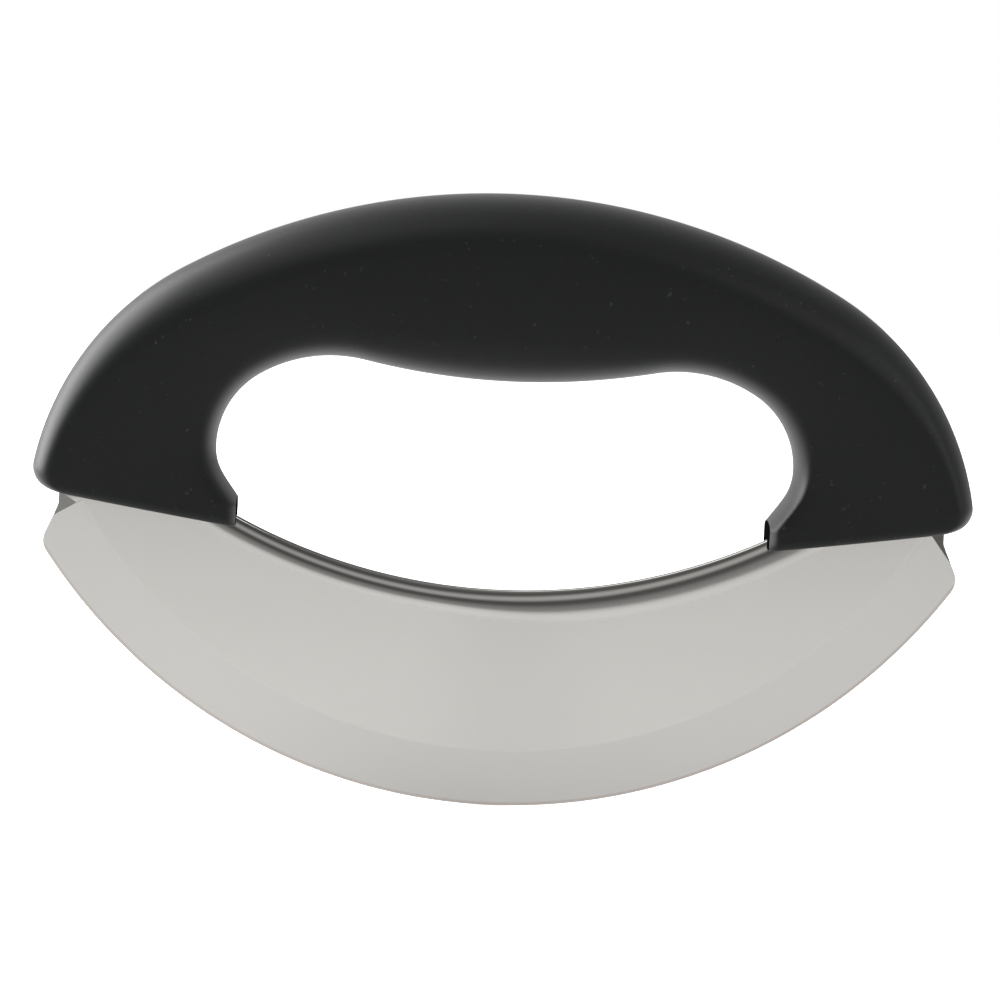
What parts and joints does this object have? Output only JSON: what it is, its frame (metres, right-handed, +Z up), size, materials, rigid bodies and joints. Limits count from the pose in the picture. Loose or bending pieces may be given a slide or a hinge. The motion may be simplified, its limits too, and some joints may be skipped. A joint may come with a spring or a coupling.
{
  "type": "rocker knife",
  "caption": "Rocker knife with a crescent blade and a horseshoe handle that spans it, with an opening for the fingers.",
  "frame": {"origin": "lowest point of the cutting edge, midway along the blade and through its thickness", "axes": "+X along the blade, to the right in the picture; +Y through its thickness, away from the side pictured; +Z up, from the cutting edge to the crown of the handle"},
  "size_m": [0.1824, 0.026, 0.1195],
  "materials": {
    "steel": "fine satin, honed along the edge",
    "core_plastic": "moulded, matt",
    "grip_rubber": "soft, matt black, finely speckled"
  },
  "bodies": {
    "root": {"blade": "steel", "handle_core": "core_plastic", "handle_grip": "grip_rubber"}
  },
  "joints": []
}
